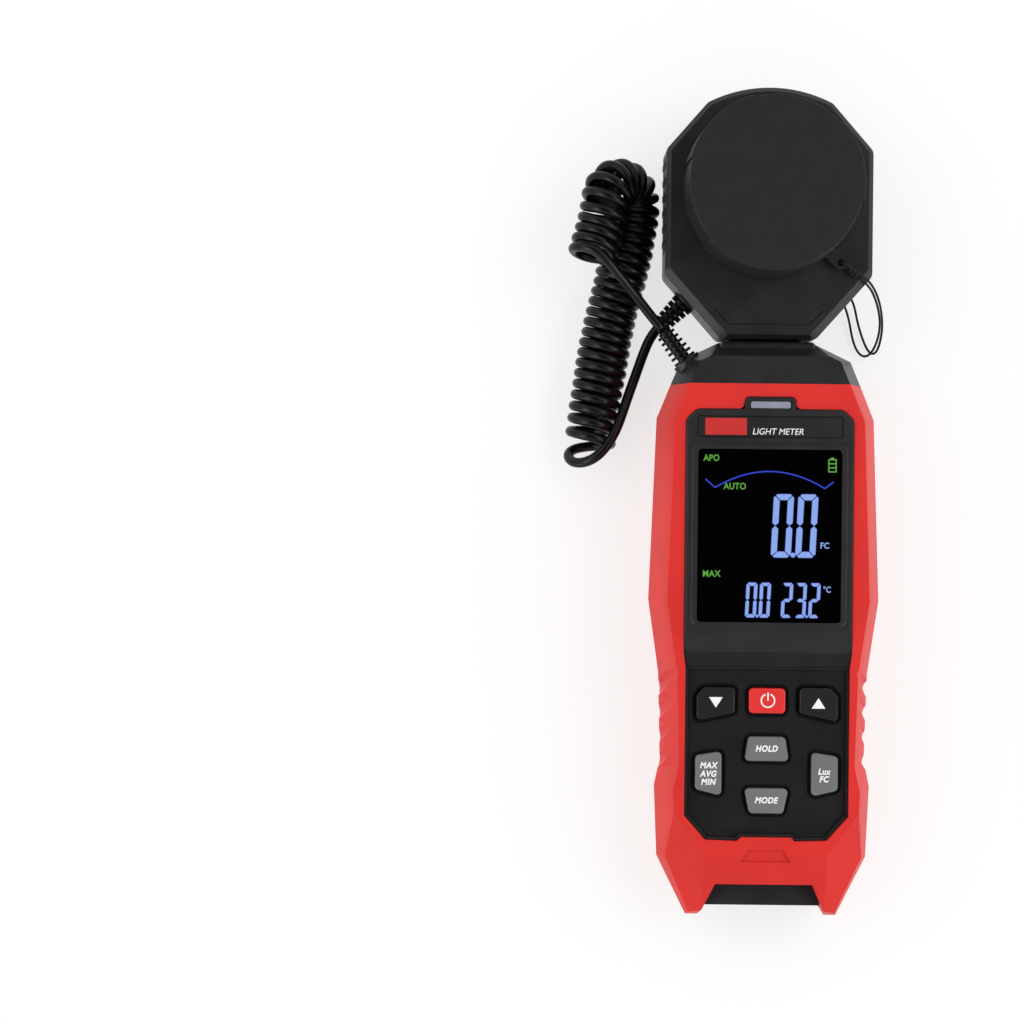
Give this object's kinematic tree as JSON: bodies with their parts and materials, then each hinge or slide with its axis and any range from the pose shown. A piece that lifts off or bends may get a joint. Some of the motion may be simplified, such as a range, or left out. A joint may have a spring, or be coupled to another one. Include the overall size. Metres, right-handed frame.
{
  "type": "light meter",
  "caption": "Handheld digital light meter in a rubber jacket, with a plug-in sensor head on a curly cord, a sensor cap on a string, a colour display and keys.",
  "frame": {"origin": "middle of the footprint of the meter with its head plugged in and its cord left out, on the surface that its back lies on", "axes": "+Y from the feet to the sensor head, +Z out of the display, +X to the right of someone reading the display"},
  "size_m": [0.0936, 0.2388, 0.046],
  "materials": {
    "red_rubber": "soft matt moulded rubber",
    "case_black": "fine spark-eroded moulded plastic",
    "panel_black": "satin moulded plastic",
    "keypad_black": "matt rubberised plastic",
    "window_clear": "clear gloss window",
    "display_black": "dark display glass",
    "label_black": "printed film",
    "lens_grey": "frosted light bar",
    "key_grey": "matt grey key",
    "key_black": "matt black key",
    "key_red": "matt red key",
    "cap_rubber": "matt rubber",
    "cord_black": "satin cord jacket",
    "string_black": "fine braided string",
    "dome_white": "opal diffuser",
    "filter_green": "coloured correction glass",
    "board_green": "circuit board with solder mask",
    "chip_black": "moulded package",
    "frame_white": "white moulded plastic",
    "silicone_grey": "silicone",
    "steel": "zinc-plated steel",
    "brass": "turned brass",
    "cell_wrap": "printed film on a steel can"
  },
  "bodies": {
    "meter": {"front_case": "case_black", "rear_case": "case_black", "red_jacket": "red_rubber", "display_bezel": "panel_black", "display_window": "window_clear", "label_plate": "label_black", "indicator_lens": "lens_grey", "indicator_led": "frame_white", "keypad_plate": "keypad_black", "rubber_keypad": "silicone_grey", "main_board": "board_green", "lcd_frame": "frame_white", "lcd_backlight": "frame_white", "lcd_panel": "display_black", "processor_chip": "chip_black", "buzzer": "chip_black", "battery_cell_1": "cell_wrap", "battery_cell_2": "cell_wrap", "battery_cell_3": "cell_wrap", "battery_springs": "steel", "battery_plates": "steel", "battery_door": "case_black", "door_screw": "steel", "case_screws": "steel", "board_screws": "steel", "tripod_insert": "brass", "body_strain_relief": "cord_black", "cord_coil": "cord_black", "cord_lead_head": "cord_black", "cord_lead_body": "cord_black"},
    "head": {"head_front_shell": "case_black", "head_rear_shell": "case_black", "head_grip_right": "cap_rubber", "head_grip_left": "cap_rubber", "head_screws": "steel", "head_strain_relief": "cord_black", "lanyard_eye": "case_black", "sensor_board": "board_green", "photodiode": "chip_black", "filter_holder": "chip_black", "correction_filter": "filter_green", "sensor_dome": "dome_white", "dome_ring": "case_black", "cap_lanyard": "string_black"},
    "cap": {"sensor_cap": "cap_rubber"},
    "key_power": {"key_power": "key_red"},
    "key_up": {"key_up": "key_black"},
    "key_down": {"key_down": "key_black"},
    "key_hold": {"key_hold": "key_grey"},
    "key_mode": {"key_mode": "key_grey"},
    "key_units": {"key_units": "key_grey"},
    "key_max_min": {"key_max_min": "key_grey"}
  },
  "joints": [
    {"name": "head_slide", "type": "slide", "parent": "meter", "child": "head", "axis": [0, 1, 0], "range_m": [0, 0.012], "deforming": ["cord_lead_head"]},
    {"name": "cap_lift", "type": "slide", "parent": "head", "child": "cap", "axis": [0, 0, 1], "range_m": [0, 0.02], "deforming": ["cap_lanyard"]},
    {"name": "key_power_press", "type": "slide", "parent": "meter", "child": "key_power", "axis": [0, 0, -1], "range_m": [0, 0.0008], "stiffness_N_per_m": 300, "springref_m": -0.002, "deforming": ["rubber_keypad"]},
    {"name": "key_up_press", "type": "slide", "parent": "meter", "child": "key_up", "axis": [0, 0, -1], "range_m": [0, 0.0008], "stiffness_N_per_m": 300, "springref_m": -0.002, "deforming": ["rubber_keypad"]},
    {"name": "key_down_press", "type": "slide", "parent": "meter", "child": "key_down", "axis": [0, 0, -1], "range_m": [0, 0.0008], "stiffness_N_per_m": 300, "springref_m": -0.002, "deforming": ["rubber_keypad"]},
    {"name": "key_hold_press", "type": "slide", "parent": "meter", "child": "key_hold", "axis": [0, 0, -1], "range_m": [0, 0.0008], "stiffness_N_per_m": 300, "springref_m": -0.002, "deforming": ["rubber_keypad"]},
    {"name": "key_mode_press", "type": "slide", "parent": "meter", "child": "key_mode", "axis": [0, 0, -1], "range_m": [0, 0.0008], "stiffness_N_per_m": 300, "springref_m": -0.002, "deforming": ["rubber_keypad"]},
    {"name": "key_units_press", "type": "slide", "parent": "meter", "child": "key_units", "axis": [0, 0, -1], "range_m": [0, 0.0008], "stiffness_N_per_m": 300, "springref_m": -0.002, "deforming": ["rubber_keypad"]},
    {"name": "key_max_min_press", "type": "slide", "parent": "meter", "child": "key_max_min", "axis": [0, 0, -1], "range_m": [0, 0.0008], "stiffness_N_per_m": 300, "springref_m": -0.002, "deforming": ["rubber_keypad"]}
  ]
}
